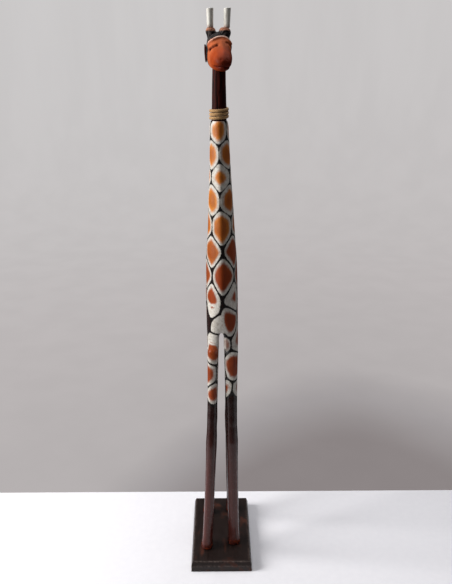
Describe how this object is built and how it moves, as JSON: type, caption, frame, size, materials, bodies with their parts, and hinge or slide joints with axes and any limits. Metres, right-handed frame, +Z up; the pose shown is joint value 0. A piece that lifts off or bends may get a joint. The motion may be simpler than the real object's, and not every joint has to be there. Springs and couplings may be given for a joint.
{
  "type": "carved giraffe statue",
  "caption": "Tall carved wooden giraffe standing on a rectangular base, with painted patch pattern, dowel horns and a twine-wrapped neck joint.",
  "frame": {"origin": "middle of the base's underside, where the statue rests", "axes": "+Z up to the horns, -Y the way the animal faces, +X its left side"},
  "size_m": [0.116, 0.204, 1.0001],
  "materials": {
    "base_wood": "dark stained, satin varnish",
    "painted_wood": "painted patches, satin",
    "leg_wood": "dark stained, glossy varnish",
    "plain_wood": "raw",
    "dark_wood": "dark stained, satin varnish",
    "face_wood": "painted, satin",
    "horn_wood": "pale paint, matte",
    "twine": "twisted plant fibre",
    "screw_steel": "zinc plated"
  },
  "bodies": {
    "root": {"base_plate": "base_wood", "body": "painted_wood", "leg_front_left": "leg_wood", "leg_front_right": "leg_wood", "leg_hind_left": "leg_wood", "leg_hind_right": "leg_wood", "leg_dowels": "plain_wood", "base_screws": "screw_steel", "upper_neck": "dark_wood", "neck_twine": "twine", "head": "face_wood", "horn_left": "horn_wood", "horn_right": "horn_wood", "ear_left": "dark_wood", "ear_right": "dark_wood", "tail": "dark_wood"}
  },
  "joints": []
}
